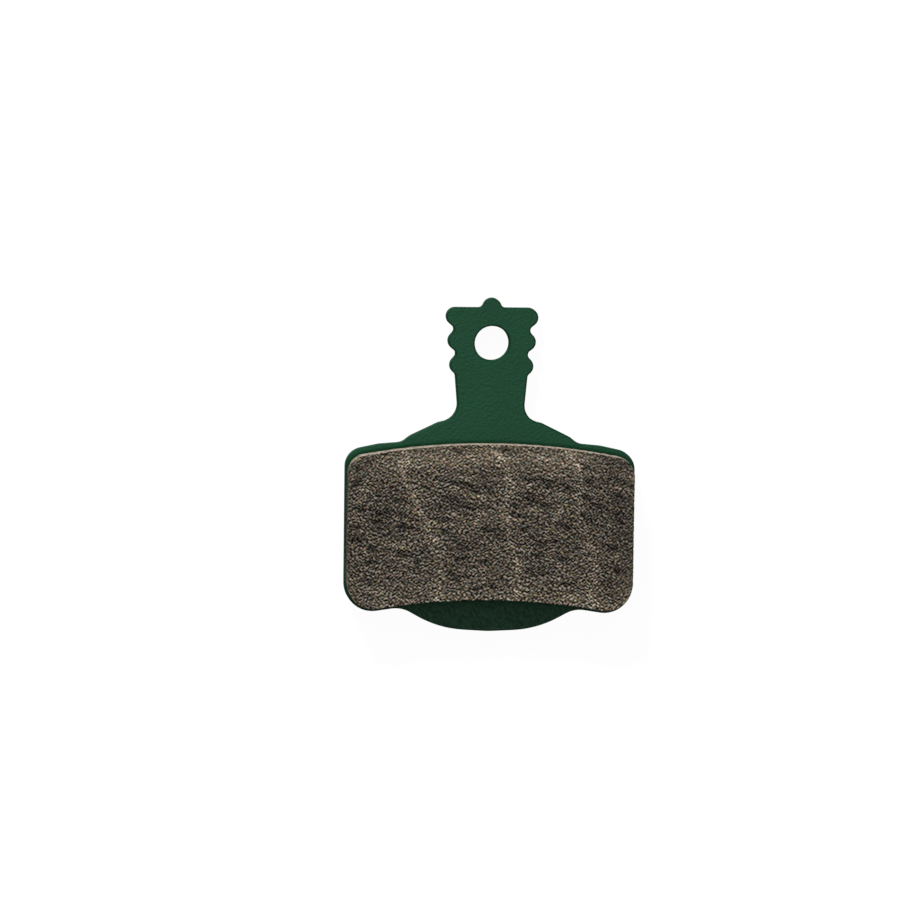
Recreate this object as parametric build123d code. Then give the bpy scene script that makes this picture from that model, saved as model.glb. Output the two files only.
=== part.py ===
from build123d import *
import os
from math import cos, radians, sin, tan

# Disc brake pad: a stamped steel backing plate with a slab of friction compound bonded to its front.
# The pad lies on the plate's back, friction side up. The origin is on the pin hole's axis, in the
# back face. X runs across the plate, Y up towards the tab's tip, Z out of the friction face.
# Sizes are in millimetres and angles in degrees.

# Plate
plate_thickness = 1.8
plate_width = 30.0  # over the two ears
front_edge_round = 0.15  # rolled edge that the die leaves on the friction side
back_edge_break = 0.1

# Tab
pin_hole_diameter = 3.6
tab_tip_height = 3.65  # from the pin hole's axis to the tab's top edge
tab_width = 9.5  # over the tips of the first pair of lobes
tab_taper_angle = 5.0  # each side leans in towards the neck

# Nub on the tab's top edge
nub_height = 1.0
nub_radius = 0.95
nub_root_radius = 0.55
nub_flank_angle = 66.0  # from the top edge

# Scalloped sides of the tab
lobe_count = 3
lobe_pitch = 2.53
lobe_radius = 0.95
notch_radius = 0.5
lobe_flank_angle = 48.0  # from the line of the lobes' tips

# Shank below the lobes
shank_setback = 0.5  # from the line of the lobes' tips in to the shank's side
shank_length = 4.57
neck_radius = 1.85

# Shoulders, from the neck out to the ears
shoulder_fall = 1.95
shelf_length = 2.1  # from the neck to the shelf's corner
shelf_crown = 0.28  # the corner's height over a straight shoulder
shelf_radius = 0.8
step_length = 0.7
step_fall = 0.63
step_radius = 2.4
step_root_radius = 1.6

# Ears
ear_length = 5.9  # from the plate's side in to the step's root
ear_crest_length = 3.5  # from the plate's side in to the ear's crest
ear_crest_fall = 0.2
ear_crest_radius = 3.8
ear_tip_fall = 0.75
ear_top_radius = 2.0
ear_height = 17.0
ear_side_angle = 0.25  # each side leans in towards the bottom
ear_bottom_radius = 2.9

# Bulge below the ears, which backs the caliper's piston
bulge_setback = 6.0  # from the plate's side in to the bulge's root
bulge_root_rise = 0.9
bulge_root_radius = 3.0
bulge_flank_length = 3.9
bulge_flank_fall = 2.15
bulge_crown = 0.26
bulge_radius = 11.0

# Friction block
friction_thickness = 2.1
friction_side_margin = 0.15  # plate left bare beside the block
friction_top_margin = 0.53
friction_bottom_margin = 0.23
friction_top_radius = 71.0  # follows the rim of the disc
friction_bottom_radius = 67.0
friction_top_corner_radius = 2.0
friction_edge_break = 0.1

# Largest share of a straight run that the arcs at its two ends may take up
arc_room = 0.99

# Directions on the tab's right side: along it towards the neck, and square to it
taper = radians(tab_taper_angle)
along_tab = Vector(-sin(taper), -cos(taper))
out_of_tab = Vector(cos(taper), -sin(taper))


# The nub's flanks meet in a point on the centre line, rounded down to the nub's height.
def nub_corners():
    flank = radians(nub_flank_angle)
    point_rise = nub_height + nub_radius * (1 / cos(flank) - 1)
    point = Vector(0, tab_tip_height + point_rise)
    root = Vector(point_rise / tan(flank), tab_tip_height)
    return [(point, nub_radius), (root, nub_root_radius)]


# The scallops are a zigzag with rounded points. The top edge cuts the first lobe short, and the last
# lobe runs into the shank.
def scallop_corners():
    flank = radians(lobe_flank_angle)
    first_centre = Vector(tab_width / 2 - lobe_radius, tab_tip_height - lobe_radius)
    point_height = lobe_radius / cos(flank)
    notch_depth = lobe_pitch / 2 * tan(flank)
    shank_depth = point_height - lobe_radius + shank_setback
    down_flank = along_tab * cos(flank) - out_of_tab * sin(flank)
    corners = []
    for i in range(lobe_count):
        tip = first_centre + along_tab * (i * lobe_pitch) + out_of_tab * point_height
        depth = shank_depth if i == lobe_count - 1 else notch_depth
        notch = tip + down_flank * (depth / sin(flank))
        if i == 0:
            tip = tip + down_flank * ((tab_tip_height - tip.Y) / down_flank.Y)
        corners += [(tip, lobe_radius), (notch, notch_radius)]
    return corners


# The shoulder falls from the neck to a step beside the ear, with one low corner on the way.
def shoulder_corners(shank_top):
    neck = shank_top + along_tab * shank_length
    step_root = Vector(plate_width / 2 - ear_length, neck.Y - shoulder_fall - step_fall)
    step = step_root + Vector(-step_length, step_fall)
    chord = (step - neck).normalized()
    shelf = neck + chord * shelf_length + chord.rotate(Axis.Z, 90) * shelf_crown
    return [(neck, neck_radius), (shelf, shelf_radius), (step, step_radius), (step_root, step_root_radius)]


# Crest, top corner and bottom corner of the ear.
def ear_corners(step_root):
    crest = Vector(plate_width / 2 - ear_crest_length, step_root.Y - ear_crest_fall)
    top = Vector(plate_width / 2, crest.Y - ear_tip_fall)
    bottom = top + Vector(-tan(radians(ear_side_angle)), -1) * ear_height
    return [(crest, ear_crest_radius), (top, ear_top_radius), (bottom, ear_bottom_radius)]


def bulge_corners(ear_bottom):
    root = Vector(plate_width / 2 - bulge_setback, ear_bottom.Y + bulge_root_rise)
    flank_end = root - Vector(bulge_flank_length, bulge_flank_fall)
    lowest = Vector(0, flank_end.Y - bulge_crown)
    return [(root, bulge_root_radius), (flank_end, bulge_radius), (lowest, bulge_radius)]


# Corners of the plate's right half, from the nub down to the bulge, each with its radius.
scallops = scallop_corners()
shoulders = shoulder_corners(scallops[-1][0])
ears = ear_corners(shoulders[-1][0])
ear_top = ears[1][0]
ear_bottom = ears[2][0]
right_half = nub_corners() + scallops + shoulders + ears + bulge_corners(ear_bottom)


# An arc takes up part of the two runs that meet at its corner. Where a run is too short for both of
# its arcs, their radii come down until they fit.
def fitted_radii(corners):
    points = [point for point, radius in corners]
    count = len(points)
    reaches = []
    for i, (point, radius) in enumerate(corners):
        opening = (points[i - 1] - point).get_angle(points[(i + 1) % count] - point)
        reaches.append(radius / tan(radians(opening / 2)))
    shares = []
    for i in range(count):
        run = (points[i] - points[i - 1]).length
        shares.append(min(1, arc_room * run / (reaches[i - 1] + reaches[i])))
    return [corners[i][1] * min(shares[i], shares[(i + 1) % count]) for i in range(count)]


def backing_plate():
    left_half = [(Vector(-point.X, point.Y), radius) for point, radius in reversed(right_half[1:-1])]
    corners = right_half + left_half
    points = [point for point, radius in corners]
    outline = FilletPolyline(*points, radius=fitted_radii(corners), close=True)
    blank = make_face(outline) - Circle(pin_hole_diameter / 2)
    plate = extrude(blank, plate_thickness)
    plate = fillet(plate.faces().sort_by(Axis.Z)[-1].edges(), front_edge_round)
    return chamfer(plate.faces().sort_by(Axis.Z)[0].edges(), back_edge_break)


# The block keeps to the ears and leaves the plate bare round its edge. Its top and bottom edges
# are arcs, as the disc sweeps past.
def friction_block():
    up_side = Vector(tan(radians(ear_side_angle)), 1)
    top_right = ear_top - up_side * friction_top_margin - Vector(friction_side_margin, 0)
    bottom_right = ear_bottom + up_side * friction_bottom_margin - Vector(friction_side_margin, 0)
    top_left = Vector(-top_right.X, top_right.Y)
    bottom_left = Vector(-bottom_right.X, bottom_right.Y)
    outline = make_face([
        RadiusArc(top_left, top_right, friction_top_radius),
        Line(top_right, bottom_right),
        RadiusArc(bottom_right, bottom_left, -friction_bottom_radius),
        Line(bottom_left, top_left),
    ])
    outline = fillet(outline.vertices().group_by(Axis.Y)[-1], friction_top_corner_radius)
    outline = fillet(outline.vertices().group_by(Axis.Y)[0], ear_bottom_radius - friction_side_margin)
    block = extrude(Pos(Z=plate_thickness) * outline, friction_thickness)
    return chamfer(block.faces().sort_by(Axis.Z)[-1].edges(), friction_edge_break)


nodes = {
    "backing_plate": backing_plate(),
    "friction_block": friction_block(),
}
os.makedirs("parts", exist_ok=True)
for name, solid in nodes.items():
    export_step(solid, f"parts/{name}.step")
    size = solid.bounding_box().size
    print(f"{name}: {solid.volume:.1f} mm3, {size.X:.2f} x {size.Y:.2f} x {size.Z:.2f} mm")
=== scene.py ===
import math

import bpy
import numpy as np
from mathutils import Matrix, Vector


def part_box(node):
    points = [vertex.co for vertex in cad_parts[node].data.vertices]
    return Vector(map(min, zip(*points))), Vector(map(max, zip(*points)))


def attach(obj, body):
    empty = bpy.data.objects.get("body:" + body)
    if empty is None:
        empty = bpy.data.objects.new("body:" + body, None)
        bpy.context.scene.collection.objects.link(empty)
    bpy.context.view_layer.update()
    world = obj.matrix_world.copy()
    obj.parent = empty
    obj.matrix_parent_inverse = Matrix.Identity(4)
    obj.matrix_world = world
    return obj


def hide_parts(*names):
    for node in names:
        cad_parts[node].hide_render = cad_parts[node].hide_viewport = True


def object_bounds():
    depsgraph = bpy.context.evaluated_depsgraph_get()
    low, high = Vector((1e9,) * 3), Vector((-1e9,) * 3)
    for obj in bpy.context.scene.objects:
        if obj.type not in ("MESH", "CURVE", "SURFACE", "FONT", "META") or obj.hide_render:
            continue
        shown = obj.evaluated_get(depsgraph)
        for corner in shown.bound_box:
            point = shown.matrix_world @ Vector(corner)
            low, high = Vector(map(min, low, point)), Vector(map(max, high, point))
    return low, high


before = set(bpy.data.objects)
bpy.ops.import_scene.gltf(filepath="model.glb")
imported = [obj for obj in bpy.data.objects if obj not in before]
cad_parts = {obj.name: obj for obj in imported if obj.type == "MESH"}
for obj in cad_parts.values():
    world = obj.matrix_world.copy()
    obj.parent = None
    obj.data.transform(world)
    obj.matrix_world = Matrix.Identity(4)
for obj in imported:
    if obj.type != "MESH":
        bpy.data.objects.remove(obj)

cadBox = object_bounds()
mm = 0.001  # the scene is in metres, the values below in millimetres
scene = bpy.context.scene
scene.view_settings.view_transform = "Standard"


# screen colour, 0 to 255, as the linear one that nodes take
def paintColour(red, green, blue):
    linear = []
    for value in (red, green, blue):
        share = value / 255
        linear.append(share / 12.92 if share < 0.04045 else ((share + 0.055) / 1.055) ** 2.4)
    return (*linear, 1.0)


# new node, with each socket linked or set
def addNode(tree, kind, sockets=None, **settings):
    node = tree.nodes.new(kind)
    for name, value in settings.items():
        setattr(node, name, value)
    for socket, value in (sockets or {}).items():
        if isinstance(value, bpy.types.NodeSocket):
            tree.links.new(value, node.inputs[socket])
        else:
            node.inputs[socket].default_value = value
    return node


def calculate(tree, operation, first, second):
    return addNode(tree, "ShaderNodeMath", {0: first, 1: second}, operation=operation).outputs[0]


def mapValue(tree, value, low, high, newLow=0.0, newHigh=1.0):
    sockets = {"Value": value, "From Min": low, "From Max": high, "To Min": newLow, "To Max": newHigh}
    return addNode(tree, "ShaderNodeMapRange", sockets, clamp=True).outputs["Result"]


def mixColours(tree, share, first, second, blend="MIX"):
    # sockets 0, 6 and 7 are the factor and the two colours
    sockets = {0: share, 6: first, 7: second}
    return addNode(tree, "ShaderNodeMix", sockets, data_type="RGBA", blend_type=blend).outputs[2]


def ramp(tree, value, stops):
    node = addNode(tree, "ShaderNodeValToRGB", {"Fac": value})
    elements = node.color_ramp.elements
    while len(elements) < len(stops):
        elements.new(1.0)
    for element, (place, colour) in zip(elements, stops):
        element.position = place
        element.color = colour
    return node.outputs["Color"]


def bump(tree, height, depth, normal=None):
    sockets = {"Height": height, "Distance": depth * mm, "Strength": 1.0}
    if normal is not None:
        sockets["Normal"] = normal
    return addNode(tree, "ShaderNodeBump", sockets).outputs[0]


def readValue(tree, name):
    return addNode(tree, "ShaderNodeAttribute", attribute_name=name).outputs["Fac"]


# the surface's normal, and how far it faces up
def readNormal(tree):
    normal = addNode(tree, "ShaderNodeNewGeometry").outputs["Normal"]
    return normal, addNode(tree, "ShaderNodeSeparateXYZ", {0: normal}).outputs["Z"]


def newMaterial(name):
    material = bpy.data.materials.new(name)
    material.use_nodes = True
    tree = material.node_tree
    return material, tree, tree.nodes["Principled BSDF"]


# grain that both finishes use: a soft-edged mask of blotches, by size in millimetres
def makeGrainGroup():
    group = bpy.data.node_groups.new("grainMask", "ShaderNodeTree")
    starts = {
        "Size": 1.0, "Stretch": 1.0, "Turn": 0.0, "Detail": 2.0,
        "Low": 0.4, "High": 0.6, "Seed": 0.0,
    }
    for name, start in starts.items():
        socket = group.interface.new_socket(name, in_out="INPUT", socket_type="NodeSocketFloat")
        socket.default_value = start
    group.interface.new_socket("Mask", in_out="OUTPUT", socket_type="NodeSocketFloat")
    inside = addNode(group, "NodeGroupInput").outputs
    place = addNode(group, "ShaderNodeTexCoord").outputs["Object"]
    sockets = {"Vector": place, "Angle": inside["Turn"]}
    place = addNode(group, "ShaderNodeVectorRotate", sockets, rotation_type="Z_AXIS").outputs[0]
    squeeze = calculate(group, "DIVIDE", 1.0, inside["Stretch"])
    axes = addNode(group, "ShaderNodeCombineXYZ", {"X": squeeze, "Y": 1.0, "Z": 1.0}).outputs[0]
    place = addNode(group, "ShaderNodeVectorMath", {0: place, 1: axes}, operation="MULTIPLY").outputs[0]
    shift = addNode(group, "ShaderNodeCombineXYZ", {"X": inside["Seed"], "Y": inside["Seed"]}).outputs[0]
    place = addNode(group, "ShaderNodeVectorMath", {0: place, 1: shift}, operation="ADD").outputs[0]
    scale = calculate(group, "DIVIDE", 1.0 / mm, inside["Size"])
    sockets = {"Vector": place, "Scale": scale, "Detail": inside["Detail"]}
    noise = addNode(group, "ShaderNodeTexNoise", sockets).outputs[0]
    sockets = {"Value": noise, "From Min": inside["Low"], "From Max": inside["High"]}
    mask = addNode(group, "ShaderNodeMapRange", sockets, interpolation_type="SMOOTHSTEP").outputs["Result"]
    addNode(group, "NodeGroupOutput", {"Mask": mask})
    return group


def grain(tree, **values):
    node = addNode(tree, "ShaderNodeGroup", node_tree=grainGroup)
    for name, value in values.items():
        node.inputs[name.capitalize()].default_value = value
    return node.outputs["Mask"]


# two grains that lie slantwise, one rising and one falling, from 0 to 2 together
def crossedGrain(tree, values, turn, seeds):
    rising = grain(tree, turn=turn, seed=seeds[0], **values)
    falling = grain(tree, turn=-turn, seed=seeds[1], **values)
    return calculate(tree, "ADD", rising, falling)


grainGroup = makeGrainGroup()
print("grain group ready")

# plate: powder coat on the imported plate
plateLook = {
    "green": (32, 71, 50),
    "deepGreen": (31, 69, 48),
    "patches": {"size": 3.5, "detail": 3.0, "low": 0.3, "high": 0.7},
    "speck": (20, 49, 33),
    "speckShare": 0.45,
    "specks": {"size": 0.16, "detail": 2.0, "low": 0.56, "high": 0.68, "seed": 3.1},
    # bulge colours: dust, with painted grain shade in the dark one and a painted sheen in the pale one
    "dustPaintedShade": (32, 59, 44),
    "dustPaintedSheen": (50, 82, 63),
    "dustAndSheenReach": (-25.5, -27.5),  # along y, where the dust and the painted sheen start and are full
    "dustAndShading": {"size": 0.19, "stretch": 1.9, "turn": 1.05, "detail": 2.0, "low": 0.3, "high": 0.7, "seed": 5.5},
    # painted shade: a darker green laid along every edge, standing in for the shade on unlit edges
    "rim": (0, 50, 27),
    "rimWidth": 0.28,
    "rimFade": 0.8,
    "rimLean": (0.995, 0.96),  # cosines of the lean at which the rim starts and is full
    "rimEnd": (0.05, 0.30),  # how far the roll still faces up where the rim ends and is full
    # painted shade on the plate beside the compound, darker where occlusion says it is hemmed in
    "paintedContactShade": (1, 44, 24),
    "contactShadeWidth": 0.5,
    "contactShadeOpenness": (0.95, 0.6),  # where the painted contact shade starts and is full
    "edgeSamples": 8,
    "roughness": (0.45, 0.60),
    "wallRough": 0.4,  # how much rougher the roll and the stamped walls are
    "wallRoughLean": (0.75, 0.5),
    "peel": {"size": 0.25, "stretch": 1.5, "detail": 2.0, "low": 0.2, "high": 0.8},
    "peelTurn": 0.55,
    "peelSeeds": (7.7, 4.2),
    "peelDepth": 0.023,
    "powder": {"size": 0.12, "detail": 2.0, "low": 0.2, "high": 0.8, "seed": 1.3},
    "powderDepth": 0.006,
    "specular": 0.08,
}


def coatColour(tree, look):
    patches = grain(tree, **look["patches"])
    coat = mixColours(tree, patches, paintColour(*look["green"]), paintColour(*look["deepGreen"]))
    specks = mapValue(tree, grain(tree, **look["specks"]), 0.0, 1.0, 0.0, look["speckShare"])
    coat = mixColours(tree, specks, coat, paintColour(*look["speck"]))
    # dust from the compound on the bulge, with a painted sheen and painted shading of its grain where the
    # bulge lies in the block's shadow
    place = addNode(tree, "ShaderNodeTexCoord").outputs["Object"]
    along = addNode(tree, "ShaderNodeSeparateXYZ", {0: place}).outputs["Y"]
    start, full = look["dustAndSheenReach"]
    dustAndShadingShare = mapValue(tree, along, start * mm, full * mm)
    dustAndShadingStrokes = grain(tree, **look["dustAndShading"])
    dustAndShading = mixColours(tree, dustAndShadingStrokes, paintColour(*look["dustPaintedShade"]), paintColour(*look["dustPaintedSheen"]))
    return mixColours(tree, dustAndShadingShare, coat, dustAndShading)


# mask of the painted edge shade: the roll itself, and the face just beside it
def rimMask(tree, look, normal, upward, rounded):
    sockets = {0: normal, 1: rounded}
    agree = addNode(tree, "ShaderNodeVectorMath", sockets, operation="DOT_PRODUCT").outputs["Value"]
    besideRoll = mapValue(tree, agree, *look["rimLean"], 0.0, look["rimFade"])
    offFace = mapValue(tree, upward, *look["rimLean"])
    offWall = mapValue(tree, upward, *look["rimEnd"])
    return calculate(tree, "MAXIMUM", besideRoll, calculate(tree, "MULTIPLY", offFace, offWall))


def makePlatePaint(look):
    material, tree, shader = newMaterial("greenPowderCoat")
    normal, upward = readNormal(tree)
    sockets = {"Radius": look["rimWidth"] * mm}
    rounded = addNode(tree, "ShaderNodeBevel", sockets, samples=look["edgeSamples"]).outputs["Normal"]
    # painted shade: the coat is darkened along every edge, and where the compound stands on it
    rim = rimMask(tree, look, normal, upward, rounded)
    coat = mixColours(tree, rim, coatColour(tree, look), paintColour(*look["rim"]))
    # painted contact shade: darker where the block hems the plate in, from occlusion
    sockets = {"Distance": look["contactShadeWidth"] * mm}
    openness = addNode(tree, "ShaderNodeAmbientOcclusion", sockets, samples=look["edgeSamples"]).outputs["AO"]
    paintedContactShade = mapValue(tree, openness, *look["contactShadeOpenness"])
    coat = mixColours(tree, paintedContactShade, coat, paintColour(*look["paintedContactShade"]))
    tree.links.new(coat, shader.inputs["Base Color"])
    powder = grain(tree, **look["powder"])
    faceRough = mapValue(tree, powder, 0.0, 1.0, *look["roughness"])
    wallRough = mapValue(tree, upward, *look["wallRoughLean"], 0.0, look["wallRough"])
    tree.links.new(calculate(tree, "ADD", faceRough, wallRough), shader.inputs["Roughness"])
    peel = crossedGrain(tree, look["peel"], look["peelTurn"], look["peelSeeds"])
    waves = bump(tree, peel, look["peelDepth"], rounded)
    tree.links.new(bump(tree, powder, look["powderDepth"], waves), shader.inputs["Normal"])
    shader.inputs["Specular IOR Level"].default_value = look["specular"]
    return material


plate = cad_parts["backing_plate"]
plate.material_slots[0].material = makePlatePaint(plateLook)
print("plate painted")

# friction block: a dense mesh with the moulded grit in its surface
blockShape = {
    "seed": 11,
    "pitch": (0.094, 0.067),  # spacing of the mesh along x and y
    "crowding": 0.04,  # how much closer the columns stand near the rounded corners
    # relief of the face, by the lengths of its waves
    "grit": {
        "longest": 0.85,
        "shortest": (0.309, 0.27),  # along x and y
        "fineLift": 0.5,  # how much the short waves gain on the long ones
        "flatShare": 0.5,  # part of the waves along x that is taken out
        "flatFan": 2.5,  # a higher fan takes fewer directions
        "slantLongest": 0.344,  # waves shorter than this slant
        "slantShare": 0.6,
        "slantFan": 40,
    },
    "lumps": {"wave": 0.85, "spread": 0.55, "stretch": 1.5},
    "swells": {"wave": 2.6, "spread": 0.6, "stretch": 1.6},
    "streaks": {"wave": 1.35, "spread": 0.4, "stretch": 5.0, "tilt": -16},  # tilt in degrees
    "gritDepth": 0.010,
    "lumpDepth": 0.008,
    "swellDepth": 0.008,
    "streakDepth": 0.006,
    "levelPercent": 99.5,  # part of the relief that lies below the block's true height
    # crumbled upper edge
    "crumbleAt": 3,  # line of the grit that the edge follows
    "crumbleMost": 2,
    "edgeBreak": 0.08,
    "edgeJitter": 0.05,
    "chipRows": 4,
    # side walls
    "wallRows": 14,
    "wallDepth": 0.03,
    "wallSpread": 3,  # lump heights that the wall's depth goes over
    "wallTone": 0.45,
    # pale skin of the upper wall, with painted light: it lies only on the walls that face the tab, where the
    # key light falls
    "skinMean": 0.85,
    "skinVary": 0.25,
    "skinReach": 0.35,  # share of the wall below the edge that keeps its skin
    "skinFade": 0.65,
    "skinLoss": 1.6,  # how fast it goes where the edge is chipped
    # how far the grit's height moves the colour, 0 to 1 being pit to ridge, from painted pit shade to painted
    # ridge light
    "gritTone": 0.25,
    "lumpTone": 0.02,
    "evenness": 0.15,  # more of it in the dark places, less in the pale ones
    "evenMost": 0.8,
    "calmShare": 0.28,  # less of it along the upper and right edges
    "calmWidth": 2.4,
}
# pattern pressed into the face: pale seams down from the upper edge, and dark and pale marks in the cells
# between them, each with its place, half length and half width
blockPattern = {
    "seams": (
        ((-9.0, -11.0), (-9.2, -13.5), (-8.5, -15.0), (-6.8, -18.0),
         (-5.4, -21.2), (-5.2, -24.0), (-5.7, -28.0)),
        ((0.6, -11.0), (1.8, -13.5), (1.9, -15.0), (1.2, -17.0),
         (2.2, -20.5), (2.9, -22.5), (2.5, -28.0)),
        ((8.0, -11.0), (9.2, -13.5), (9.1, -15.0), (9.3, -18.0),
         (10.1, -20.5), (10.8, -22.5), (10.7, -28.0)),
    ),
    "seamTone": 0.54,
    "seamWidth": 0.48,
    "seamGaps": {"wave": 2.2, "spread": 0.6},  # the seams come and go
    "seamMean": 0.95,
    "seamVary": 0.25,
    "seamMost": 1.6,
    "cellShifts": ((0.0, 0.0), (8.0, 0.4)),
    "cellDark": (
        (-3.2, -14.3, 1.9, 0.20), (-1.9, -14.95, 0.5, 0.15), (-0.1, -15.2, 0.6, 0.25),
        (-4.3, -15.8, 1.0, 0.18), (-4.0, -16.4, 0.6, 0.25), (-2.4, -16.85, 0.8, 0.28),
        (-4.8, -18.1, 1.2, 0.20), (-0.3, -19.1, 0.9, 0.28), (-4.6, -19.4, 0.5, 0.25),
        (-3.6, -20.2, 0.5, 0.25), (-1.6, -20.6, 0.5, 0.22), (-2.9, -21.0, 0.6, 0.30),
        (-2.9, -22.1, 0.9, 0.25), (-0.5, -22.5, 0.6, 0.25), (-4.0, -23.6, 0.5, 0.25),
        (-3.4, -24.2, 0.4, 0.20), (-2.4, -23.9, 0.5, 0.25), (0.2, -25.0, 0.5, 0.2),
        (-1.6, -25.2, 0.6, 0.20), (-5.4, -16.9, 0.6, 0.15),
    ),
    "cellPale": (
        (-2.3, -13.85, 1.1, 0.16), (-5.65, -14.6, 0.18, 0.50), (-4.2, -14.8, 0.5, 0.20),
        (-1.2, -15.7, 1.3, 0.18), (-3.8, -17.45, 0.6, 0.22), (-5.2, -18.55, 1.2, 0.20),
        (-1.35, -18.2, 0.22, 0.45), (-0.8, -17.5, 0.4, 0.30), (-2.0, -22.25, 0.4, 0.25),
        (-0.7, -23.2, 0.4, 0.30), (-2.4, -24.6, 0.25, 0.45), (-1.0, -24.55, 0.5, 0.15),
    ),
    "sideDark": (
        (-11.7, -15.6, 0.5, 0.25), (-10.3, -15.9, 0.5, 0.25), (-9.2, -16.1, 0.5, 0.25),
        (-13.6, -17.0, 0.7, 0.3), (-11.2, -17.5, 0.7, 0.30), (-9.3, -18.9, 0.4, 0.40),
        (-11.8, -18.5, 0.6, 0.3), (-13.9, -20.25, 0.9, 0.35), (-9.2, -21.6, 1.0, 0.25),
        (-12.4, -22.6, 0.6, 0.25), (-10.7, -23.1, 0.4, 0.3), (-7.6, -22.7, 0.35, 0.5),
        (-13.9, -14.3, 0.4, 0.5), (-13.9, -13.0, 0.5, 0.4), (-12.9, -12.2, 0.4, 0.25),
        (-6.9, -21.3, 0.4, 0.25), (-12.2, -21.1, 0.4, 0.3), (-12.3, -24.6, 0.8, 0.2),
        (-3.5, -10.95, 0.7, 0.2), (1.2, -10.85, 1.2, 0.25), (-9.2, -17.6, 0.5, 0.2),
        (-8.4, -19.0, 0.5, 0.2), (-14.0, -18.9, 0.5, 0.25), (13.2, -18.2, 0.4, 0.2),
        (9.6, -15.7, 0.5, 0.25), (12.4, -20.9, 0.7, 0.25), (13.2, -23.2, 0.5, 0.3),
        (12.2, -24.6, 0.6, 0.25), (11.0, -16.6, 0.8, 0.30), (10.2, -18.0, 0.35, 0.4),
        (9.6, -17.6, 0.3, 0.3), (13.1, -17.3, 0.35, 0.35), (10.1, -14.0, 0.4, 0.30),
        (9.8, -12.6, 0.4, 0.30), (13.3, -15.5, 0.4, 0.3),
    ),
    "sidePale": (
        (-9.6, -20.8, 1.0, 0.25), (-13.6, -16.4, 0.25, 0.25), (-9.1, -13.3, 0.35, 0.5),
        (-13.1, -21.3, 0.25, 0.4), (-12.0, -25.6, 1.0, 0.2), (-13.2, -15.1, 0.5, 0.25),
        (12.6, -18.4, 0.3, 0.3), (13.2, -21.9, 0.4, 0.4), (8.4, -26.0, 1.3, 0.35),
        (7.0, -25.0, 1.0, 0.25),
    ),
    "markSlope": -9,  # degrees
    "darkTone": -1.38,
    "paleTone": 0.85,
    # pale band below the upper edge, weaker towards its ends
    "topTone": 0.82,
    "topPlace": 1.2,
    "topWidth": 1.0,
    "topReach": 10.5,
    "topEnds": 0.45,
    # pale lower edge
    "footTone": 0.34,
    "footWidth": 1.3,
    # broad darker places beside the cells
    "sideTone": -0.32,
    "sidePlaces": (
        (-11.6, -18.2, 1.6, 2.0), (13.3, -18.2, 2.6, 5.4), (12.8, -12.6, 1.8, 1.4),
        (1.9, -19.4, 1.2, 1.7), (9.2, -19.2, 1.6, 1.8),
    ),
    "bodyTone": -0.008,
    "clouds": {"wave": 1.6, "spread": 0.8, "stretch": 1.3},
    "cloudTone": 0.03,
    "streakTone": 0.11,
    # all of it wanders a little, along x and y
    "wander": {"wave": 2.5, "spread": 0.6},
    "wanderBy": (0.12, 0.06),
    "ripple": {"wave": 0.7, "spread": 0.6},
    "rippleBy": (0.10, 0.03),
}
rasterPitch = 0.035
rasterShape = (640, 1024)
tiny = 1e-6  # stands in for zero where it would divide


# random field on the raster with a spread of 1, from a filter over its wave numbers
def filterNoise(rng, keep):
    field = np.fft.ifft2(np.fft.fft2(rng.standard_normal(rasterShape)) * keep).real
    return field / field.std()


def waveNumbers():
    rows, columns = rasterShape
    alongX = np.fft.fftfreq(columns, rasterPitch)[None, :]
    alongY = np.fft.fftfreq(rows, rasterPitch)[:, None]
    return alongX, alongY


# one main wavelength, stretched along a line that is tilted from x
def bandNoise(rng, wave, spread, stretch=1.0, tilt=0.0):
    alongX, alongY = waveNumbers()
    turn = math.radians(tilt)
    along = (alongX * math.cos(turn) + alongY * math.sin(turn)) * stretch
    across = alongY * math.cos(turn) - alongX * math.sin(turn)
    waves = np.maximum(np.hypot(along, across) * wave, tiny)
    return filterNoise(rng, np.exp(-(np.log(waves) / spread) ** 2))


# all waves between the longest and the shortest, as loose grit has them
def gritNoise(rng, grit):
    alongX, alongY = waveNumbers()
    shortX = alongX * grit["shortest"][0]
    shortY = alongY * grit["shortest"][1]
    keep = 1 + grit["fineLift"] * (shortX ** 2 + shortY ** 2)
    keep *= 1 - np.exp(-(alongX ** 2 + alongY ** 2) * grit["longest"] ** 2)
    # fewer waves that run along x, so the grains lie flat
    sideways = np.exp(-grit["flatFan"] * (alongY / np.maximum(np.abs(alongX), tiny)) ** 2)
    keep *= np.sqrt(1 - grit["flatShare"] * sideways)
    # and the finest ones slant both ways
    upright = np.exp(-grit["slantFan"] * (alongX / np.maximum(np.abs(alongY), tiny)) ** 2)
    finest = (np.hypot(alongX, alongY) * grit["slantLongest"]) ** 8
    keep *= np.sqrt(1 - grit["slantShare"] * upright * finest / (1 + finest))
    # soft end at the shortest waves, a little sharper along y
    return filterNoise(rng, keep * np.exp(-(shortX ** 4 + shortY ** 6) / 2))


# value of a raster at places in millimetres, by linear interpolation
def sample(field, x, y):
    column = (x / rasterPitch) % rasterShape[1]
    row = (y / rasterPitch) % rasterShape[0]
    left = np.floor(column).astype(int)
    lower = np.floor(row).astype(int)
    columnShare = column - left
    rowShare = row - lower
    left %= rasterShape[1]
    lower %= rasterShape[0]
    right = (left + 1) % rasterShape[1]
    upper = (lower + 1) % rasterShape[0]
    low = field[lower, left] * (1 - columnShare) + field[lower, right] * columnShare
    high = field[upper, left] * (1 - columnShare) + field[upper, right] * columnShare
    return low * (1 - rowShare) + high * rowShare


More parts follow.
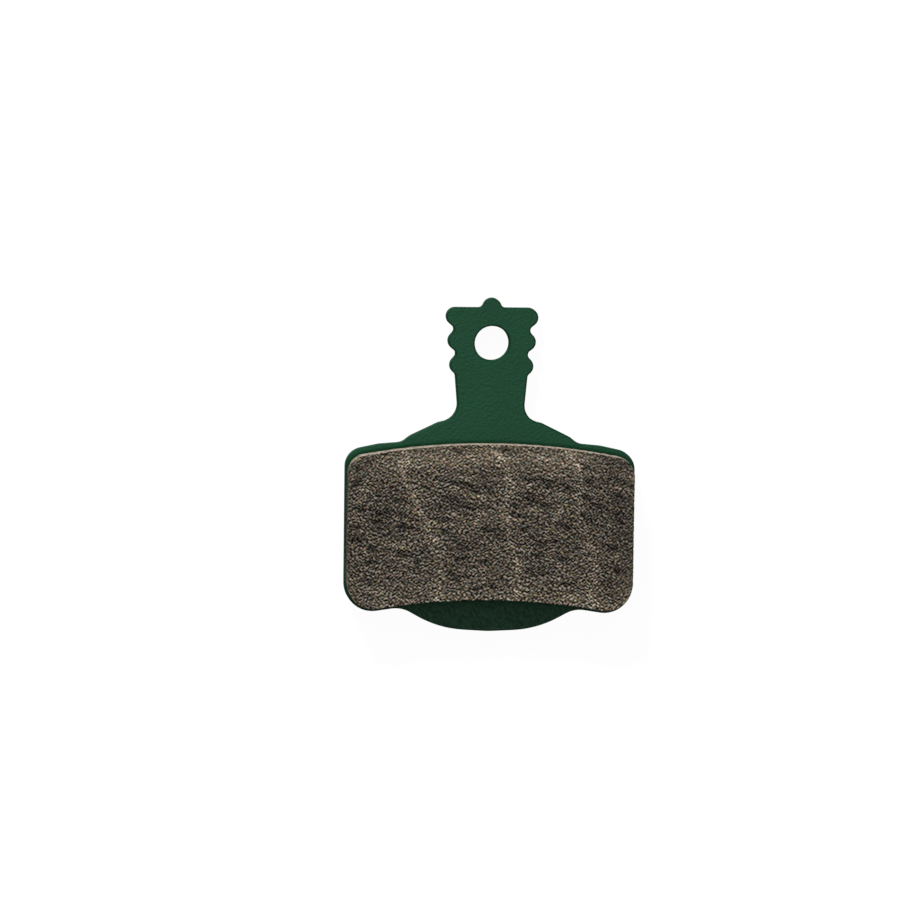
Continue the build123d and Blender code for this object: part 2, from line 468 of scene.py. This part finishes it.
# the block's outline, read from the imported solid's foot, in order round its middle
def readOutline(node):
    points = np.array([v.co for v in node.data.vertices]) / mm
    nearFoot = points[:, 2].min() + 0.01
    foot = points[points[:, 2] < nearFoot][:, :2]
    foot = np.unique(foot.round(4), axis=0)  # each corner once
    middle = (foot.min(axis=0) + foot.max(axis=0)) / 2
    angles = np.arctan2(foot[:, 1] - middle[1], foot[:, 0] - middle[0])
    return foot[np.argsort(angles)], middle


# upper and lower heights of the outline over x
def edgeHeights(outline, middle, x):
    def heights(side):
        chain = outline[side]
        chain = chain[np.argsort(chain[:, 0])]
        return np.interp(x, chain[:, 0], chain[:, 1])
    return heights(outline[:, 1] >= middle[1]), heights(outline[:, 1] < middle[1])


# columns from side to side, rows from the lower edge to the upper one
def layGrid(shape, low, high):
    outline, middle = readOutline(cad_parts["friction_block"])
    columns = int((high.x - low.x) / shape["pitch"][0])
    rows = int((high.y - low.y) / shape["pitch"][1])
    turn = np.linspace(-1, 1, columns + 1)
    x = (turn + shape["crowding"] * np.sin(np.pi * turn)) * (high.x - low.x) / 2 + middle[0]
    top, bottom = edgeHeights(outline, middle, x)
    share = np.linspace(0, 1, rows + 1)[None, :]
    gridX = np.repeat(x[:, None], rows + 1, axis=1)
    gridY = bottom[:, None] * (1 - share) + top[:, None] * share
    return gridX, gridY


# the border of the grid, once round, as columns and rows
def walkBorder(grid):
    columns, rows = grid.shape[0] - 1, grid.shape[1] - 1
    border = [(i, 0) for i in range(columns)] + [(columns, j) for j in range(rows)]
    border += [(i, rows) for i in range(columns, 0, -1)] + [(0, j) for j in range(rows, 0, -1)]
    return np.array(border).T


# sum of soft spots, 1 at the middle of each
def softSpots(x, y, spots, slope=0.0):
    total = np.zeros_like(x)
    for spotX, spotY, halfLength, halfWidth in spots:
        along = (x - spotX) * math.cos(slope) + (y - spotY) * math.sin(slope)
        across = (y - spotY) * math.cos(slope) - (x - spotX) * math.sin(slope)
        total += np.exp(-(along / halfLength) ** 2 - (across / halfWidth) ** 2)
    return total


# lighter and darker places over the face, from about -1 to 1
def makePatches(pattern, rng, gridX, gridY, streaks):
    def field(waves):
        return sample(bandNoise(rng, **waves), gridX, gridY)
    x = gridX + pattern["wanderBy"][0] * field(pattern["wander"])
    y = gridY + pattern["wanderBy"][1] * field(pattern["wander"])
    x += pattern["rippleBy"][0] * field(pattern["ripple"])
    y += pattern["rippleBy"][1] * field(pattern["ripple"])
    tone = pattern["cloudTone"] * field(pattern["clouds"]) + pattern["bodyTone"]
    tone += pattern["streakTone"] * sample(streaks, gridX, gridY)
    strength = pattern["seamMean"] + pattern["seamVary"] * field(pattern["seamGaps"])
    seamTone = pattern["seamTone"] * np.clip(strength, 0, pattern["seamMost"])
    for seam in pattern["seams"]:
        seamX, seamY = np.array(seam[::-1]).T
        tone += seamTone * np.exp(-((x - np.interp(y, seamY, seamX)) / pattern["seamWidth"]) ** 2)
    fromTop = (gridY[:, -1:] - gridY - pattern["topPlace"]) / pattern["topWidth"]
    inReach = np.exp(-(gridX / pattern["topReach"]) ** 8)  # level, then a quick fall at the ends
    alongTop = pattern["topEnds"] + (1 - pattern["topEnds"]) * inReach
    tone += pattern["topTone"] * alongTop * np.exp(-fromTop ** 2)
    tone += pattern["footTone"] * np.exp(-((gridY - gridY[:, :1]) / pattern["footWidth"]) ** 2)
    tone += pattern["sideTone"] * softSpots(x, y, pattern["sidePlaces"])
    slope = math.radians(pattern["markSlope"])
    dark = softSpots(x, y, pattern["sideDark"], slope)
    pale = softSpots(x, y, pattern["sidePale"], slope)
    for shiftX, shiftY in pattern["cellShifts"]:
        dark += softSpots(x - shiftX, y - shiftY, pattern["cellDark"], slope)
        pale += softSpots(x - shiftX, y - shiftY, pattern["cellPale"], slope)
    return tone + pattern["darkTone"] * dark + pattern["paleTone"] * pale


# side walls that hang from the border, row by row, and how much pale skin with painted light they keep
def hangWalls(shape, low, high, edge, outward, length, lumps, chips):
    walls = []
    skinsAndPaintedLight = []
    for k in range(1, shape["wallRows"] + 1):
        down = k / shape["wallRows"]
        z = high.z + (low.z - high.z) * down
        bumps = sample(lumps, length, np.full(len(length), z))
        depth = np.clip(0.5 - bumps / shape["wallSpread"], 0, 1) * shape["wallDepth"]
        chipped = chips * max(1 - k / shape["chipRows"], 0)  # the chips end a little below the edge
        ring = edge - outward * (depth + chipped)[:, None]
        walls.append(np.c_[ring, np.full(len(ring), z)])
        wear = np.clip(shape["skinMean"] + shape["skinVary"] * bumps, 0, 1)
        fade = 1 - shape["skinFade"] * max(down - shape["skinReach"], 0) / (1 - shape["skinReach"])
        skinsAndPaintedLight.append(fade * wear * np.clip(outward[:, 1], 0, 1))  # only where the wall faces the tab and the key light: painted light
    return walls, skinsAndPaintedLight


# squares of the face, the wall rows below its border, and one flat foot
def joinFaces(index, border, wallRows):
    quads = np.stack([index[:-1, :-1], index[1:, :-1], index[1:, 1:], index[:-1, 1:]], axis=2)
    # every other square starts at its next corner, so the triangles lean both ways
    odd = np.indices(quads.shape[:2]).sum(axis=0) % 2 == 1
    quads[odd] = np.roll(quads[odd], 1, axis=1)
    faces = quads.reshape(-1, 4).tolist()
    upper = border
    for k in range(wallRows):
        lower = index.size + k * len(border) + np.arange(len(border))
        faces += np.stack([upper, lower, np.roll(lower, -1), np.roll(upper, -1)], axis=1).tolist()
        upper = lower
    faces.append(upper[::-1].tolist())
    return faces


def makeFrictionBlock(shape, pattern):
    low, high = (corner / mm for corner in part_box("friction_block"))
    rng = np.random.default_rng(shape["seed"])
    grit = gritNoise(rng, shape["grit"])
    lumps = bandNoise(rng, **shape["lumps"])
    swells = bandNoise(rng, **shape["swells"])
    streaks = bandNoise(rng, **shape["streaks"])
    relief = grit * shape["gritDepth"] + lumps * shape["lumpDepth"]
    relief += swells * shape["swellDepth"] + streaks * shape["streakDepth"]

    # places along the upper edge, with the way out of the block and the length walked so far
    gridX, gridY = layGrid(shape, low, high)
    rimColumns, rimRows = walkBorder(gridX)
    edge = np.c_[gridX[rimColumns, rimRows], gridY[rimColumns, rimRows]]
    ahead = np.roll(edge, -1, axis=0) - np.roll(edge, 1, axis=0)
    outward = np.c_[ahead[:, 1], -ahead[:, 0]] / np.linalg.norm(ahead, axis=1)[:, None]
    step = np.linalg.norm(np.roll(edge, -1, axis=0) - edge, axis=1)
    length = np.concatenate([[0], np.cumsum(step)[:-1]])
    rough = np.abs(sample(grit, length, np.full(len(length), shape["crumbleAt"])))
    crumble = np.minimum(rough / shape["crumbleMost"], 1)
    chips = crumble * shape["edgeJitter"]

    # highest grain touches the block's true height, nothing stands above it
    height = sample(relief, gridX, gridY)
    height = np.minimum(height - np.percentile(height, shape["levelPercent"]), 0)
    height[rimColumns, rimRows] -= shape["edgeBreak"] * (1 + crumble) / 2
    face = np.stack([gridX, gridY, high.z + height], axis=2)
    face[rimColumns, rimRows, :2] = edge - outward * chips[:, None]
    walls, skinsAndPaintedLight = hangWalls(shape, low, high, edge, outward, length, lumps, chips)
    points = np.vstack([face.reshape(-1, 3)] + walls)
    index = np.arange(gridX.size).reshape(gridX.shape)
    border = index[rimColumns, rimRows]
    faces = joinFaces(index, border, shape["wallRows"])
    mesh = bpy.data.meshes.new("frictionBlock")
    mesh.from_pydata((points * mm).tolist(), [], faces)
    mesh.update()
    mesh.shade_smooth()

    # the grit stands out as much in the dark places as in the pale ones, and less along the upper and
    # right edges
    patches = makePatches(pattern, rng, gridX, gridY, streaks)
    contrast = np.exp(-shape["evenness"] * np.clip(patches, -shape["evenMost"], shape["evenMost"]))
    fromEdge = np.minimum(gridY[:, -1:] - gridY, high.x - gridX) / shape["calmWidth"]
    contrast *= 1 - shape["calmShare"] * np.exp(-fromEdge ** 2)
    heightTone = sample(shape["gritTone"] * grit + shape["lumpTone"] * lumps, gridX, gridY)
    reliefValues = np.full(len(points), shape["wallTone"])
    reliefValues[:index.size] = np.clip(0.5 + contrast * heightTone, 0, 1).reshape(-1)
    patchValues = np.zeros(len(points))
    patchValues[:index.size] = patches.reshape(-1)
    # the pressed skin of the walls is paler than the face, and is laid only where the walls face the key
    # light, as painted light, most along the upper edge
    skinAndLightValues = np.zeros(len(points))
    skinAndLightValues[index.size:] = np.concatenate(skinsAndPaintedLight)
    skinAndLightValues[border] = skinsAndPaintedLight[0] * (1 - np.minimum(shape["skinLoss"] * crumble, 1))
    for name, values in (("relief", reliefValues), ("patch", patchValues), ("skinAndPaintedLight", skinAndLightValues)):
        mesh.attributes.new(name, "FLOAT", "POINT").data.foreach_set("value", values.astype(np.float32))
    block = bpy.data.objects.new("frictionCompound", mesh)
    scene.collection.objects.link(block)
    print("friction block:", len(points), "points,", sum(len(f) - 2 for f in faces), "triangles")
    return block


blockLook = {
    # colours by height, from the bottom of a pit to the top of a ridge: painted shade in the pits and painted
    # light on the ridges, over the compound's own tone
    "heights": (0.15, 0.36, 0.50, 0.64, 0.88),
    "pitShadeToRidgeLight": ((3, 2, 1), (47, 42, 36), (79, 73, 65), (109, 102, 92), (165, 157, 146)),
    "fine": {"size": 0.165, "stretch": 1.9, "detail": 1.0, "low": 0.2, "high": 0.8},
    "fineTurn": 0.6,
    "fineSeeds": (2.4, 8.1),
    "fineShare": 0.05,
    "fineDepth": 0.005,
    # grit of the walls, and how far a wall faces up where it starts and is full
    "wallGrain": {"size": 0.26, "detail": 2.0, "low": 0.25, "high": 0.75, "seed": 3.8},
    "wallLean": (0.7, 0.3),
    "wallShare": 0.18,
    "wallDepth": 0.02,
    # patches: a value of 1 makes the colour patchBase times as light
    "patchBase": 2.5,
    "patchSpan": 0.6,  # value at which a tint is full
    "seamTint": (255, 254, 251),
    "dentTint": (250, 252, 255),
    # tints of the single grains
    "warmth": {"size": 0.26, "detail": 1.0, "low": 0.3, "high": 0.7, "seed": 6.3},
    "coolTint": (236, 245, 255),
    "warmTint": (255, 241, 222),
    "moss": {"size": 0.2, "detail": 1.0, "low": 0.3, "high": 0.7, "seed": 5.2},
    "pinkTint": (255, 234, 244),
    "mossTint": (235, 255, 245),
    "ochre": {"size": 0.34, "detail": 1.0, "low": 0.59, "high": 0.73, "seed": 9.4},
    "ochreTint": (255, 245, 190),
    "slate": {"size": 0.34, "detail": 1.0, "low": 0.60, "high": 0.74, "seed": 4.6},
    "slateTint": (220, 238, 255),
    # pale skin with painted light on the walls facing the key light, by the heights over which it holds and
    # turns from its pits to its own colour
    "skinAndPaintedLight": (192, 179, 163),
    "skinPits": (138, 126, 112),
    "skinHold": (0.0, 0.4),
    "skinMottle": (0.25, 0.6),
    "roughHeights": (0.2, 0.9),
    "roughness": (0.95, 0.7),
    "specular": 0.08,
}


# darker in the dents and lighter in the seams, each with a tint
def tintPatches(tree, look, colour):
    patches = readValue(tree, "patch")
    shade = calculate(tree, "POWER", look["patchBase"], patches)
    side = mapValue(tree, patches, -look["patchSpan"], look["patchSpan"])
    tint = mixColours(tree, side, paintColour(*look["dentTint"]), paintColour(*look["seamTint"]))
    tint = addNode(tree, "ShaderNodeVectorMath", {0: tint, "Scale": shade}, operation="SCALE").outputs[0]
    return mixColours(tree, 1.0, colour, tint, "MULTIPLY")


def tintGrains(tree, look, colour):
    for name, first, second in (("warmth", "coolTint", "warmTint"), ("moss", "pinkTint", "mossTint")):
        mask = grain(tree, **look[name])
        tint = mixColours(tree, mask, paintColour(*look[first]), paintColour(*look[second]))
        colour = mixColours(tree, 1.0, colour, tint, "MULTIPLY")
    for name, tint in (("ochre", "ochreTint"), ("slate", "slateTint")):
        flecks = grain(tree, **look[name])
        colour = mixColours(tree, flecks, colour, paintColour(*look[tint]), "MULTIPLY")
    return colour


# pale skin, with painted light on the walls that face the key light
def layPaleSkinAndPaintedLight(tree, look, colour, relief):
    share = calculate(tree, "MULTIPLY", readValue(tree, "skinAndPaintedLight"), mapValue(tree, relief, *look["skinHold"]))
    mottle = mapValue(tree, relief, *look["skinMottle"])
    skinAndPaintedLight = mixColours(tree, mottle, paintColour(*look["skinPits"]), paintColour(*look["skinAndPaintedLight"]))
    return mixColours(tree, share, colour, skinAndPaintedLight)


def makeCompound(look):
    material, tree, shader = newMaterial("frictionCompound")
    # the walls have their grit from a grain in the round
    upward = readNormal(tree)[1]
    onWall = mapValue(tree, upward, *look["wallLean"], 0.0, look["wallShare"])
    wallGrain = mapValue(tree, grain(tree, **look["wallGrain"]), 0.0, 1.0, -1.0, 1.0)
    wallGrit = calculate(tree, "MULTIPLY", onWall, wallGrain)
    relief = calculate(tree, "ADD", readValue(tree, "relief"), wallGrit)
    fine = crossedGrain(tree, look["fine"], look["fineTurn"], look["fineSeeds"])
    fineTone = mapValue(tree, fine, 0.0, 2.0, -look["fineShare"], look["fineShare"])
    stops = [(place, paintColour(*colour)) for place, colour in zip(look["heights"], look["pitShadeToRidgeLight"])]
    colour = ramp(tree, calculate(tree, "ADD", relief, fineTone), stops)
    colour = tintPatches(tree, look, colour)
    colour = tintGrains(tree, look, colour)
    colour = layPaleSkinAndPaintedLight(tree, look, colour, relief)
    tree.links.new(colour, shader.inputs["Base Color"])
    roughness = mapValue(tree, relief, *look["roughHeights"], *look["roughness"])
    tree.links.new(roughness, shader.inputs["Roughness"])
    coarse = bump(tree, wallGrit, look["wallDepth"])
    tree.links.new(bump(tree, fine, look["fineDepth"], coarse), shader.inputs["Normal"])
    shader.inputs["Specular IOR Level"].default_value = look["specular"]
    return material


block = makeFrictionBlock(blockShape, blockPattern)
block.data.materials.append(makeCompound(blockLook))
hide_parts("friction_block")
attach(block, "root")
print("friction block dressed")

# floor and light
studio = {
    "floorSize": 1200,
    "floorGap": 0.02,  # below the pad's back face
    "floorTone": 0.06,
    "floorWhite": 1.02,  # what shows of the open floor
    "keyFrom": (-0.30, 0.845, 0.48),
    "keyDistance": 800,
    "keySize": 140,
    "keyShare": 0.62,  # shares of a plain white level
    "roomShare": 0.38,
}


# white to the eye and in reflections, a plain grey to the light it catches, darker where the pad shades it
def makeFloor(values):
    half = values["floorSize"] * mm / 2
    z = -values["floorGap"] * mm
    corners = [(-half, -half, z), (half, -half, z), (half, half, z), (-half, half, z)]
    mesh = bpy.data.meshes.new("floor")
    mesh.from_pydata(corners, [], [(0, 1, 2, 3)])
    floor = bpy.data.objects.new("floor", mesh)
    scene.collection.objects.link(floor)
    material, tree, shader = newMaterial("studioFloor")
    tone = values["floorTone"]
    shader.inputs["Base Color"].default_value = (tone, tone, tone, 1)
    shader.inputs["Roughness"].default_value = 1.0
    shader.inputs["Specular IOR Level"].default_value = 0.0
    paths = addNode(tree, "ShaderNodeLightPath").outputs
    seen = calculate(tree, "MAXIMUM", paths["Is Camera Ray"], paths["Is Glossy Ray"])
    seen = calculate(tree, "MAXIMUM", seen, paths["Is Transmission Ray"])
    lift = calculate(tree, "MULTIPLY", seen, values["floorWhite"] - tone)
    shader.inputs["Emission Color"].default_value = (1, 1, 1, 1)
    tree.links.new(lift, shader.inputs["Emission Strength"])
    mesh.materials.append(material)


def lightStudio(values):
    lamp = bpy.data.lights.new("keySoftbox", "AREA")
    lamp.size = values["keySize"] * mm
    towards = Vector(values["keyFrom"]).normalized()
    distance = values["keyDistance"] * mm
    # power that gives a level surface its share of a plain white level
    lamp.energy = values["keyShare"] * math.pi ** 2 * distance ** 2 / towards.z
    key = bpy.data.objects.new("keySoftbox", lamp)
    key.location = (cadBox[0] + cadBox[1]) / 2 + towards * distance
    key.rotation_euler = towards.to_track_quat("Z", "Y").to_euler()
    scene.collection.objects.link(key)
    world = bpy.data.worlds.new("softRoom")
    world.use_nodes = True
    background = world.node_tree.nodes["Background"]
    background.inputs["Color"].default_value = (1, 1, 1, 1)
    background.inputs["Strength"].default_value = values["roomShare"]
    scene.world = world


makeFloor(studio)
lightStudio(studio)
print("studio lit")

# the camera looks down from the tab's end, a little from the left, through a long lens
view = {
    "leftLean": 4.4,  # degrees
    "tabLean": 4.6,
    "turn": -0.885,
    "distance": 1000,
    "farthest": 10000,  # end of the camera's sight
    "sensor": 36.0,
    "framePixels": 900,
    "pixelsPerMm": 9.69,
    "holePixel": (492.25, 343.5),  # where the pin hole's front mouth shows
}


def placeCamera(values):
    lean = math.radians(values["leftLean"])
    tip = math.radians(values["tabLean"])
    turn = math.radians(values["turn"])
    back = Vector((-math.sin(lean) * math.cos(tip), math.sin(tip), math.cos(lean) * math.cos(tip)))
    flat = Vector((math.cos(lean), 0, math.sin(lean)))
    upright = back.cross(flat)
    right = flat * math.cos(turn) - upright * math.sin(turn)
    up = upright * math.cos(turn) + flat * math.sin(turn)
    middle = values["framePixels"] / 2
    offset = [(middle - place) / values["pixelsPerMm"] * mm for place in values["holePixel"]]
    hole = Vector((0, 0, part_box("backing_plate")[1].z))
    aim = hole + right * offset[0] - up * offset[1]
    data = bpy.data.cameras.new("productCamera")
    data.sensor_width = values["sensor"]
    data.lens = values["sensor"] * values["distance"] * values["pixelsPerMm"] / values["framePixels"]
    data.clip_end = values["farthest"] * mm
    camera = bpy.data.objects.new("productCamera", data)
    place = aim + back * values["distance"] * mm
    camera.matrix_world = Matrix.Translation(place) @ Matrix((right, up, back)).transposed().to_4x4()
    scene.collection.objects.link(camera)
    scene.camera = camera


placeCamera(view)
print("camera placed")
